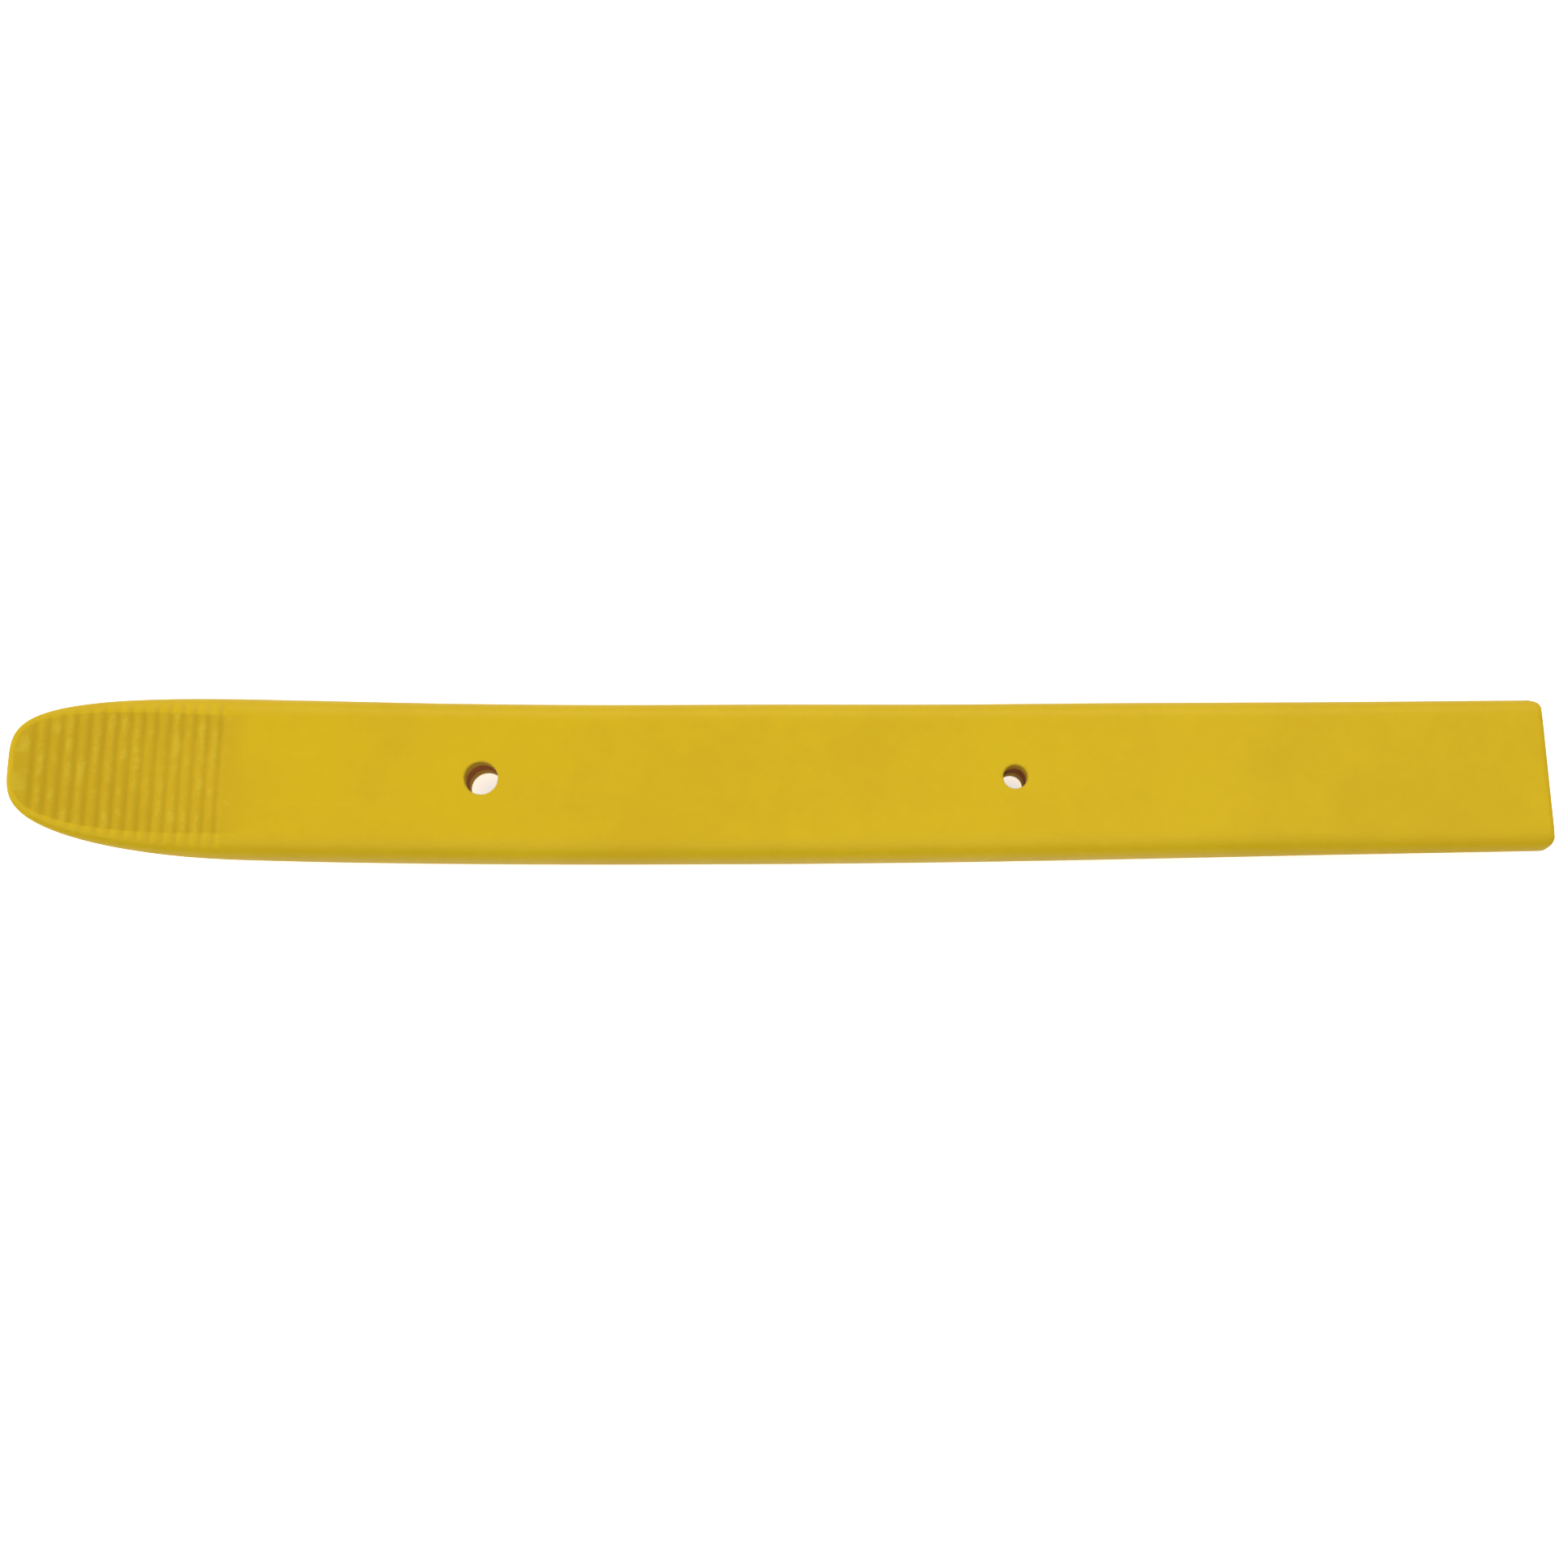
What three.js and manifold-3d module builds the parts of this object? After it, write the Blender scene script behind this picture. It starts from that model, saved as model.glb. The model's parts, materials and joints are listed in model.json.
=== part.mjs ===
// Tyre lever: a flat bar of moulded plastic over a steel core. Millimetres, +Z up.
//
// X runs along the lever, from the ribbed spoon tip at -X to the square-cut end at +X. Y runs
// across it and +Z is the ribbed top face. The origin is on the surface that the lever lies on,
// under the middle of its length. The bar lies flat in its middle and both ends rise from there.
import * as THREE from 'three';
import { mergeVertices } from 'three/addons/utils/BufferGeometryUtils.js';
import Module from 'manifold-3d';

// ---- Driving dimensions ----------------------------------------------------------------------

const LENGTH = 500;
const WIDTH = 54;
const END_WIDTH = 51;
const THICKNESS = 16.5;
const END_THICKNESS = 11.5;
const TIP_THICKNESS = 4;
const EDGE_RADIUS = 6.3;          // rounding of the long edges
const EDGE_SHARE = 0.46;          // most of the thickness that one rounding may take

const TIP_TAPER = 110;            // length over which the bar thins towards the tip
const END_TAPER = 160;            // length over which it thins towards the square end
const NOSE = 70;                  // length over which the tip's outline closes in
const NOSE_BLUNTNESS = 3.6;       // superellipse exponent across the nose
const NOSE_FLAT = 0.25;           // the very tip's outline is cut off this far in
const TIP_ROUND = 2;              // rounding of the tip's front edge
const CORNER_RADIUS = 3.5;        // plan corners of the square end
const END_ROUND = 1.6;            // rounding of the square end's top and bottom edges
const LEAST_ROUND = 0.15;         // share of a rounding at which it starts, so that an end stays flat

const FLAT_FROM = -44;            // the underside is flat between these two places
const FLAT_TO = 26;
const BEND_END = 76;              // the square end's bend is over here, and the rest is straight
const END_SLOPE = 0.042;
const SPOON_START = -184;         // the bend is tighter from here to the tip
const SPOON_START_SLOPE = 0.143;
const TIP_SLOPE = 0.46;

const BORES = [{ x: -102, radius: 5.5 }, { x: 75, radius: 4 }];
const BORE_CHAMFER = 0.6;
const BORE_SIDES = 32;
const BORE_OVERRUN = 4;           // the bores' cutter stands this far past both faces

const RIB_COUNT = 15;
const RIB_PITCH = 4;
const FIRST_RIB = 7.5;            // from the tip
const RIB_GROOVE = { halfWidth: 1.4, depth: 0.5, sideMargin: 1.5 };
const RIB_SEGMENTS = [12, 6];

const CORE_FROM = -185;
const CORE_TO = 225;
const CORE_WIDTH = 35;
const CORE_THICKNESS = 6;
const CORE_EDGE = 0.8;
const CLEARANCE = 0.3;            // between the core and the pocket that it lies in

const BODY_COLOUR = 0xd8b71a;
const CORE_COLOUR = 0x4a3428;

// ---- The bar's shape along its length --------------------------------------------------------

const TIP_X = -LENGTH / 2;
const END_X = LENGTH / 2;

// Slope of the bent bar, straight lines between bends, so that every bend is a circular arc.
const BENDS = [
  [TIP_X, -TIP_SLOPE], [SPOON_START, -SPOON_START_SLOPE], [FLAT_FROM, 0],
  [FLAT_TO, 0], [BEND_END, END_SLOPE], [END_X, END_SLOPE],
];

function slopeAt(x) {
  const i = BENDS.findIndex(([at], k) => k > 0 && x <= at);
  const [x0, slope0] = BENDS[i - 1];
  const [x1, slope1] = BENDS[i];
  return slope0 + (slope1 - slope0) * (x - x0) / (x1 - x0);
}

// Height of the bent middle plane above its flat part: the area under the slope from there.
function riseAt(x) {
  let rise = 0;
  for (let k = 1; k < BENDS.length; k++) {
    const low = Math.max(BENDS[k - 1][0], Math.min(x, 0));
    const high = Math.min(BENDS[k][0], Math.max(x, 0));
    if (high > low) rise += (high - low) * slopeAt((low + high) / 2);
  }
  return x < 0 ? -rise : rise;
}

function middleHeight(x) {
  return THICKNESS / 2 + riseAt(x);
}

// Height of a quarter-round edge, as a share of its radius, at the given depth from the edge.
function roundShare(depth, radius) {
  const inward = Math.max(LEAST_ROUND, Math.min(1, depth / radius));
  return Math.sqrt(1 - (1 - inward) ** 2);
}

function thicknessAt(x) {
  const fromTip = x - TIP_X;
  const fromEnd = END_X - x;
  const tipTaper = Math.sin(Math.PI / 2 * Math.min(1, fromTip / TIP_TAPER));
  const endTaper = THREE.MathUtils.smoothstep(fromEnd, 0, END_TAPER);
  const tipLoss = (THICKNESS - TIP_THICKNESS) * (1 - tipTaper);
  const endLoss = (THICKNESS - END_THICKNESS) * (1 - endTaper);
  const thickness = THICKNESS - tipLoss - endLoss;
  const endRoundLoss = 2 * END_ROUND * (1 - roundShare(fromEnd, END_ROUND));
  return thickness * roundShare(fromTip, TIP_ROUND) - endRoundLoss;
}

function halfWidthAt(x) {
  const taper = (WIDTH - END_WIDTH) / 2 * Math.max(0, x) / END_X;
  const nose = 1 - Math.min(1, Math.max(x - TIP_X, NOSE_FLAT) / NOSE);
  const noseShare = (1 - nose ** 2) ** (1 / NOSE_BLUNTNESS);
  const cornerLoss = CORNER_RADIUS * (1 - roundShare(END_X - x, CORNER_RADIUS));
  return (WIDTH / 2 - taper) * noseShare - cornerLoss;
}

function edgeRadiusAt(x) {
  return Math.min(EDGE_RADIUS, EDGE_SHARE * thicknessAt(x), 0.9 * halfWidthAt(x));
}

function topHeight(x) {
  return middleHeight(x) + thicknessAt(x) / 2;
}

// Places along the bar for its rings: close together where the outline or the edges turn.
function bodyStations() {
  const stations = [TIP_X, TIP_X + 0.5, TIP_X + 1, TIP_X + TIP_ROUND];
  const noseSteps = 14;
  for (let i = 4; i <= noseSteps; i++) {
    stations.push(TIP_X + NOSE * (1 - Math.cos(Math.PI / 2 * i / noseSteps)));
  }
  const straightSteps = 22;
  const straightFrom = TIP_X + NOSE;
  const straightTo = END_X - CORNER_RADIUS;
  for (let i = 1; i <= straightSteps; i++) {
    stations.push(straightFrom + (straightTo - straightFrom) * i / straightSteps);
  }
  const cornerSteps = 6;
  for (let i = 1; i <= cornerSteps; i++) {
    stations.push(straightTo + CORNER_RADIUS * Math.sin(Math.PI / 2 * i / cornerSteps));
  }
  return stations;
}

function evenStations(from, to, step) {
  const count = Math.ceil((to - from) / step);
  return Array.from({ length: count + 1 }, (_, i) => from + (to - from) * i / count);
}

// ---- Shapes ----------------------------------------------------------------------------------

// A bar of rounded-rectangle sections: a capped cylinder whose rows move to the stations and
// whose rings become the sections. section(x) gives { halfWidth, thickness, radius, height }.
function loft(stations, section, arcSteps) {
  const pointsPerCorner = arcSteps + 1;
  const around = 4 * pointsPerCorner;
  const rows = stations.length - 1;
  const geometry = new THREE.CylinderGeometry(1, 1, 1, around, rows);
  const position = geometry.getAttribute('position');
  for (let v = 0; v < position.count; v++) {
    const x = stations[Math.round((position.getY(v) + 0.5) * rows)];
    const { halfWidth, thickness, radius, height } = section(x);
    const isCentre = Math.hypot(position.getX(v), position.getZ(v)) < 0.5;
    if (isCentre) {
      position.setXYZ(v, x, 0, height);
      continue;
    }
    const turn = Math.atan2(position.getX(v), position.getZ(v)) / (2 * Math.PI);
    const index = (Math.round(turn * around) + around) % around;
    const corner = Math.floor(index / pointsPerCorner);
    const angle = Math.PI / 2 * (corner + (index % pointsPerCorner) / arcSteps);
    const side = corner === 0 || corner === 3 ? 1 : -1;
    const face = corner < 2 ? 1 : -1;
    const y = side * (halfWidth - radius) + radius * Math.cos(angle);
    const z = face * (thickness / 2 - radius) + radius * Math.sin(angle);
    position.setXYZ(v, x, y, height + z);
  }
  return geometry;
}

function bodyBlank() {
  const section = (x) => ({
    halfWidth: halfWidthAt(x),
    thickness: thicknessAt(x),
    radius: edgeRadiusAt(x),
    height: middleHeight(x),
  });
  return loft(bodyStations(), section, 6);
}

// The flat steel bar, bent to the lever's middle plane, grown on every side by the given amount.
function coreBar(grow) {
  const section = (x) => ({
    halfWidth: CORE_WIDTH / 2 + grow,
    thickness: CORE_THICKNESS + 2 * grow,
    radius: CORE_EDGE,
    height: middleHeight(x),
  });
  return loft(evenStations(CORE_FROM - grow, CORE_TO + grow, 16), section, 2);
}

// A round cutter along Z that also chamfers both mouths of the bore.
function boreCutter({ x, radius }) {
  const top = topHeight(x);
  const bottom = top - thicknessAt(x);
  const wide = radius + BORE_CHAMFER + BORE_OVERRUN;
  const profile = [
    [0, bottom - BORE_OVERRUN], [wide, bottom - BORE_OVERRUN], [radius, bottom + BORE_CHAMFER],
    [radius, top - BORE_CHAMFER], [wide, top + BORE_OVERRUN], [0, top + BORE_OVERRUN],
  ].map(([r, z]) => new THREE.Vector2(r, z));
  const geometry = new THREE.LatheGeometry(profile, BORE_SIDES);
  geometry.rotateX(Math.PI / 2);
  geometry.translate(x, 0, 0);
  return geometry;
}

// A long thin ellipsoid across the top face: its groove fades out on the rounding of both edges.
function ribCutter(x) {
  const geometry = new THREE.SphereGeometry(1, ...RIB_SEGMENTS);
  const reach = halfWidthAt(x) - RIB_GROOVE.sideMargin;
  geometry.scale(RIB_GROOVE.halfWidth, reach, RIB_GROOVE.depth);
  geometry.rotateY(-Math.atan(slopeAt(x)));
  geometry.translate(x, 0, topHeight(x));
  return geometry;
}

// ---- Joining and cutting ---------------------------------------------------------------------

const wasm = await Module();
wasm.setup();

function toSolid(geometry) {
  const bare = geometry.clone();
  bare.deleteAttribute('normal');
  bare.deleteAttribute('uv');
  const merged = mergeVertices(bare, 1e-4);
  return new wasm.Manifold(new wasm.Mesh({
    numProp: 3,
    vertProperties: new Float32Array(merged.getAttribute('position').array),
    triVerts: new Uint32Array(merged.getIndex().array),
  }));
}

function toGeometry(solid) {
  const mesh = solid.getMesh();
  const geometry = new THREE.BufferGeometry();
  geometry.setAttribute('position', new THREE.BufferAttribute(mesh.vertProperties, 3));
  geometry.setIndex(new THREE.BufferAttribute(mesh.triVerts, 1));
  geometry.computeVertexNormals();
  return geometry;
}

function cutAll(blank, cutters) {
  let solid = toSolid(blank);
  for (const cutter of cutters) solid = solid.subtract(toSolid(cutter));
  return toGeometry(solid);
}

// ---- Sub-parts -------------------------------------------------------------------------------

// The yellow body, with the core's pocket inside it. The pocket opens into both bores.
function mouldedBody() {
  const ribs = Array.from({ length: RIB_COUNT }, (_, i) => TIP_X + FIRST_RIB + i * RIB_PITCH);
  const cutters = [coreBar(CLEARANCE), ...BORES.map(boreCutter), ...ribs.map(ribCutter)];
  const material = new THREE.MeshStandardMaterial({
    color: BODY_COLOUR, roughness: 0.5, metalness: 0,
  });
  const mesh = new THREE.Mesh(cutAll(bodyBlank(), cutters), material);
  mesh.name = 'moulded_body';
  return mesh;
}

// The steel bar inside, drilled through where the bores pass.
function steelCore() {
  const material = new THREE.MeshStandardMaterial({
    color: CORE_COLOUR, roughness: 0.6, metalness: 0.8,
  });
  const mesh = new THREE.Mesh(cutAll(coreBar(0), BORES.map(boreCutter)), material);
  mesh.name = 'steel_core';
  return mesh;
}

const tyreLever = new THREE.Group();
tyreLever.add(mouldedBody(), steelCore());

export default tyreLever;
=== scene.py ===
"""Tyre lever: a flat bar of moulded plastic over a steel core, lying on a pale floor.

X runs along the lever from the ribbed spoon tip to the square end, Y across it, +Z out of the
ribbed face. Metres. Every surface is worked out with numpy as whole grids of points.
"""
import json
import math

import bpy
import numpy as np
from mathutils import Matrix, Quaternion, Vector


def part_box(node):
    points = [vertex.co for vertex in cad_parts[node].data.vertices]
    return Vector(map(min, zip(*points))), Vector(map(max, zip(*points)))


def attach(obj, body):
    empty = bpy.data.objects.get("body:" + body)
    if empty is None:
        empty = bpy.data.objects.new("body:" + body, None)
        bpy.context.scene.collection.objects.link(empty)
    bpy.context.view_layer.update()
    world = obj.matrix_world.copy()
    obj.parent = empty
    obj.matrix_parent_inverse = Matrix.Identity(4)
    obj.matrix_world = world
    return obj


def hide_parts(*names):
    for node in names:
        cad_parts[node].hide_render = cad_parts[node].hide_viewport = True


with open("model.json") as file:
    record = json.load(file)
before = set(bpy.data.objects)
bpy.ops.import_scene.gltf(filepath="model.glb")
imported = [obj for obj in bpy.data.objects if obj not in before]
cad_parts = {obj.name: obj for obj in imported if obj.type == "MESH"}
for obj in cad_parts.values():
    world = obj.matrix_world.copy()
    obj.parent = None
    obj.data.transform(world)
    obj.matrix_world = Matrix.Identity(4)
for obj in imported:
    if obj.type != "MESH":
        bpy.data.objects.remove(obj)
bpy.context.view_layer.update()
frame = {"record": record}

MM = 0.001

# ---- The lever's sizes: from the frame where it holds them -----------------------------------

BODY_LOW, BODY_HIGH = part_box("moulded_body")
CORE_LOW, CORE_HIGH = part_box("steel_core")
MOUNTS = {mount["name"]: mount for mount in frame["record"]["mounts"]}
OPENINGS = {hole["name"]: np.array(hole["box_m"]) for hole in frame["record"]["physics"]["openings"]}

TIP_X, END_X = BODY_LOW.x, BODY_HIGH.x
WIDTH = BODY_HIGH.y - BODY_LOW.y
END_WIDTH = 51 * MM
THICKNESS = MOUNTS["top_face"]["pos_m"][2]
END_THICKNESS = 11.5 * MM
TIP_THICKNESS = 4 * MM
TIP_TAPER = 110 * MM
END_TAPER = 160 * MM
NOSE = 70 * MM
NOSE_BLUNTNESS = 3.6
CORNER_RADIUS = 3.5 * MM

# Slope of the bent bar at each of its bends; it runs evenly from one to the next.
BEND_X = np.array([TIP_X, -184 * MM, -44 * MM, 26 * MM, 76 * MM, END_X])
BEND_SLOPE = np.array([-0.46, -0.143, 0, 0, 0.042, 0.042])
FLAT_BEND = 2                     # the bend where the bar becomes flat

EDGE_HEIGHT = 6.3 * MM            # how far down the long edges' rounding reaches
EDGE_SHARE = 0.46                 # most of the thickness that it may take
EDGE_SPREAD = 1.2                 # how far inward it reaches, against its height
EDGE_FULLNESS = 2.35              # superellipse exponent: it leaves the flat face gently
END_EDGE = 1.6 * MM               # the square end's own edges are much sharper
CORNER_EASE = 1 * MM              # rounds the corner of the flat face's outline at the square end

BORES = [("large_bore", 5.5 * MM), ("small_bore", 4 * MM)]
RIM = 0.7 * MM                    # rounding of the bores' mouths

RIB_COUNT = 15
RIB_PITCH = 4 * MM
FIRST_RIB = 7.5 * MM
RIB_DEPTH = 0.45 * MM
RIB_ENDS = (1 * MM, 4.5 * MM)     # the grooves begin and reach full depth this far in from the side
RIB_SHARPNESS = 1.4               # above 1 the grooves are narrower than the crests between them
RIBBED_FADE = (TIP_X + 62 * MM, TIP_X + 74 * MM)    # the ribs' wear, and their soil and painted shade, die out along here

WAVE = 0.045 * MM                 # amplitude of the unevenness that cooling leaves
# Its waves: radians per metre along the bar and across it, and the phase.
COOLING_WAVES = [(1 / 0.021, 0, 1.3), (1 / 0.0137, 1 / 0.019, 0), (-1 / 0.034, 1 / 0.011, 0)]

# Round marks in the underside, each a place and a profile of radii and depths in mm: ejector pins,
# and the gate, which is a shallow dish with a broken-off nub in its middle.
PIN_PROFILE = [(0.8, 0.15), (1.6, 0.15), (2.4, 0.15), (2.9, 0.15), (3.05, 0), (3.3, 0)]
GATE_PROFILE = [(0.7, -0.1), (1.1, 0), (1.4, 0.4), (3.4, 0.4), (3.9, 0.1), (4.2, 0)]
PIN_X = [-150 * MM, -38 * MM, 128 * MM, 205 * MM]
PIN_Y = 10.5 * MM
GATE_X = 226 * MM
DENTS = [((x, y), PIN_PROFILE) for x in PIN_X for y in (-PIN_Y, PIN_Y)]
DENTS.append(((GATE_X, 0), GATE_PROFILE))

PARTING_LINE = 0.1 * MM           # height of the ridge where the mould's halves met
PARTING_SHARE = 0.15              # most that it may be of the wall between the two roundings
# The wall's rows: places on it, 1 at its top and -1 at its foot, and shares of the ridge's height.
WALL_ROWS = [(0.9, 0), (0.32, 0), (0.14, 0.7), (0, 1), (-0.14, 0.7), (-0.32, 0), (-0.9, 0)]

CORE_EDGE = 0.8 * MM
CORE_CORNER = 2 * MM
CORE_THICKNESS = 6 * MM
CLEARANCE = 0.05 * MM             # the moulding's shrinkage gap round the core


# ---- The bar's shape along its length --------------------------------------------------------

def smooth(value, low, high):
    """Smoothstep: 0 below low, 1 above high and an S-curve between."""
    t = np.clip((value - low) / (high - low), 0, 1)
    return t * t * (3 - 2 * t)


def slope(x):
    """Slope of the bent middle plane: straight lines between the bends."""
    return np.interp(x, BEND_X, BEND_SLOPE)


BEND_RISE = np.concatenate([[0], np.cumsum(np.diff(BEND_X) * (BEND_SLOPE[1:] + BEND_SLOPE[:-1]) / 2)])


def middle(x):
    """Height of the middle plane: the area under the slope, an arc from each bend to the next."""
    x = np.asarray(x, float)
    k = np.clip(np.searchsorted(BEND_X, x) - 1, 0, len(BEND_X) - 2)
    run = x - BEND_X[k]
    area = BEND_RISE[k] + run * (BEND_SLOPE[k] + slope(x)) / 2
    return THICKNESS / 2 + area - BEND_RISE[FLAT_BEND]


def thickness(x):
    """Thickness of the bar: full in the middle, a quarter sine down to the tip, an S to the end."""
    tip_loss = 1 - np.sin(math.pi / 2 * np.clip((x - TIP_X) / TIP_TAPER, 0, 1))
    end_loss = 1 - smooth(END_X - x, 0, END_TAPER)
    return THICKNESS - (THICKNESS - TIP_THICKNESS) * tip_loss - (THICKNESS - END_THICKNESS) * end_loss


def edge_height(x):
    """Height of the long edges' rounding."""
    return np.minimum(EDGE_HEIGHT, EDGE_SHARE * thickness(x))


def cooling(x, y, face):
    """How far cooling moves the surface up: the mean of crossed sine waves, and inwards by WAVE.

    face is 1 on the top face, -1 on the underside and in between on the edge.
    """
    waves = [np.sin(x * along + y * across + phase) for along, across, phase in COOLING_WAVES]
    return WAVE * (sum(waves) / len(waves) - face)


def groove(x, y):
    """Share of the ribs' full groove depth: a row of cosine waves that fades towards both sides."""
    along = (x - TIP_X - FIRST_RIB) / RIB_PITCH
    wave = (0.5 + 0.5 * np.cos(2 * math.pi * along)) ** RIB_SHARPNESS
    inside = (along > -0.5) & (along < RIB_COUNT - 0.5)
    from_side = np.interp(x, BODY_OUTLINE.x, BODY_OUTLINE.y) - np.abs(y)
    return np.where(inside, wave, 0) * smooth(from_side, *RIB_ENDS)


# ---- Outlines --------------------------------------------------------------------------------

NOSE_POINTS, SIDE_POINTS, CORNER_POINTS = 6000, 4000, 300
OUTLINE_STEP = 0.05 * MM          # the body's outline is then spaced evenly at this step
BAR_CORNER_POINTS = 60
BAR_OUTLINE_STEP = 0.1 * MM
SQUARE_END = 4 * CORNER_RADIUS    # length over which the long edges' rounding gives way to the end's
BACK_TURN = 0.98 * math.pi        # the body's end rows begin where its outline has turned this far


class Outline:
    """The far half of a plan outline, from the tip's middle to the square end's middle.

    It holds, at closely spaced distances s along it: the point x, y, the outward normal, the
    height of the edge rounding there, and the point inner_x, inner_y of the flat face's own
    outline that the rounding starts from. The near half is its mirror image. The flat face's
    grid has its two end rows before the distance front and past the distance back.
    """

    def __init__(self, x, y, edge_width, height):
        self.x, self.y, self.height = x, y, height
        self.s = run_length(x, y)
        along_x, along_y = np.gradient(x, self.s), np.gradient(y, self.s)
        length = np.hypot(along_x, along_y)
        self.nx, self.ny = -along_y / length, along_x / length
        self.nx[0], self.ny[0] = -1, 0
        self.nx[-1], self.ny[-1] = 1, 0
        self.inner_x = x - self.nx * edge_width
        self.inner_y = y - self.ny * edge_width
        self.front = self.turned_by(math.pi / 4)
        self.back = self.turned_by(3 * math.pi / 4)

    def at(self, s, name):
        """One of the outline's arrays, by name, read at the distances s."""
        return np.interp(s, self.s, getattr(self, name))

    def turned_by(self, angle):
        """The distance at which the normal has turned this far from pointing along -X."""
        turned = np.unwrap(np.arctan2(self.ny, self.nx))
        return float(np.interp(angle - math.pi, -turned, self.s))


def run_length(x, y):
    """Distance along a line of points, from its first point to each."""
    return np.concatenate([[0], np.cumsum(np.hypot(np.diff(x), np.diff(y)))])


def resample(x, y, step):
    """The same line with evenly spaced points."""
    s = run_length(x, y)
    even = np.linspace(0, s[-1], int(s[-1] / step) + 1)
    return np.interp(even, s, x), np.interp(even, s, y)


def below(value, limit, ease):
    """The smaller of a value and a limit, with the corner between them rounded by ease."""
    return limit - ease * np.logaddexp(0, (limit - value) / ease)


def side_line(x):
    """Half the bar's width along its straight sides, which taper a little to the square end."""
    return WIDTH / 2 - (WIDTH - END_WIDTH) / 2 * np.maximum(0, x) / END_X


def body_outline():
    """Superellipse nose, straight side, round corner and straight square end.

    Round the corner, the flat face's own outline keeps the side's and the end's distances, and the
    rounding's height eases from the side's to the end's as the side's rounding dies out across it.
    """
    turn = math.pi / 2 * np.linspace(0, 1, NOSE_POINTS) ** 3
    nose_x = TIP_X + NOSE * (1 - np.cos(turn))
    nose_y = WIDTH / 2 * np.sin(turn) ** (2 / NOSE_BLUNTNESS)
    side_x = np.linspace(TIP_X + NOSE, END_X - CORNER_RADIUS, SIDE_POINTS)[1:]
    side_y = side_line(side_x)
    angle = np.linspace(math.pi / 2, 0, CORNER_POINTS)[1:]
    corner_x = END_X - CORNER_RADIUS * (1 - np.cos(angle))
    corner_y = side_y[-1] - CORNER_RADIUS * (1 - np.sin(angle))
    x = np.concatenate([nose_x, side_x, corner_x, [END_X]])
    y = np.concatenate([nose_y, side_y, corner_y, [0]])
    x, y = resample(x, y, OUTLINE_STEP)
    at_end = x > END_X - SQUARE_END
    height = edge_height(x)
    width = height * EDGE_SPREAD
    across = np.clip(1 - (side_line(x) - y) / width, 0, 1) ** EDGE_FULLNESS
    end_height = np.minimum(height, END_EDGE + height * (1 - np.sqrt(1 - across)))
    outline = Outline(x, y, width, np.where(at_end, end_height, height))
    inner_x = below(x, END_X - END_EDGE * EDGE_SPREAD, CORNER_EASE)
    inner_y = below(y, side_line(x) - width, CORNER_EASE)
    outline.inner_x = np.where(at_end, inner_x, outline.inner_x)
    outline.inner_y = np.where(at_end, inner_y, outline.inner_y)
    outline.back = outline.turned_by(BACK_TURN)
    return outline


def bar_outline(x0, x1, half_width, corner, edge):
    """A rectangle with round corners, for the steel bar and its pocket."""
    angle = np.linspace(0, math.pi / 2, BAR_CORNER_POINTS)
    first_x = x0 + corner * (1 - np.cos(angle))
    first_y = half_width - corner + corner * np.sin(angle)
    x = np.concatenate([[x0], first_x, x1 - (first_x[::-1] - x0), [x1]])
    y = np.concatenate([[0], first_y, first_y[::-1], [0]])
    x, y = resample(x, y, BAR_OUTLINE_STEP)
    return Outline(x, y, edge, np.full(len(x), edge))


BODY_OUTLINE = body_outline()


# ---- Meshes ----------------------------------------------------------------------------------

SPACING_SAMPLES = 20000
BLOCK = 10                        # a bore's patch reaches this many cells each way
PATCH_RINGS = 8                   # rings that slide from the patch's border to the bore's mouth
RING_LEAD = 0.6                   # the rings run ahead of an even slide, to crowd at the mouth
RIM_RINGS = 6
EASE_BACK = 3                     # cells over which the grid round a mark returns to its rows
EDGE_ROWS = 12                    # rows of each quarter round of the edge
EDGE_WEAR, PARTING_WEAR = 0.35, 0.6


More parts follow.
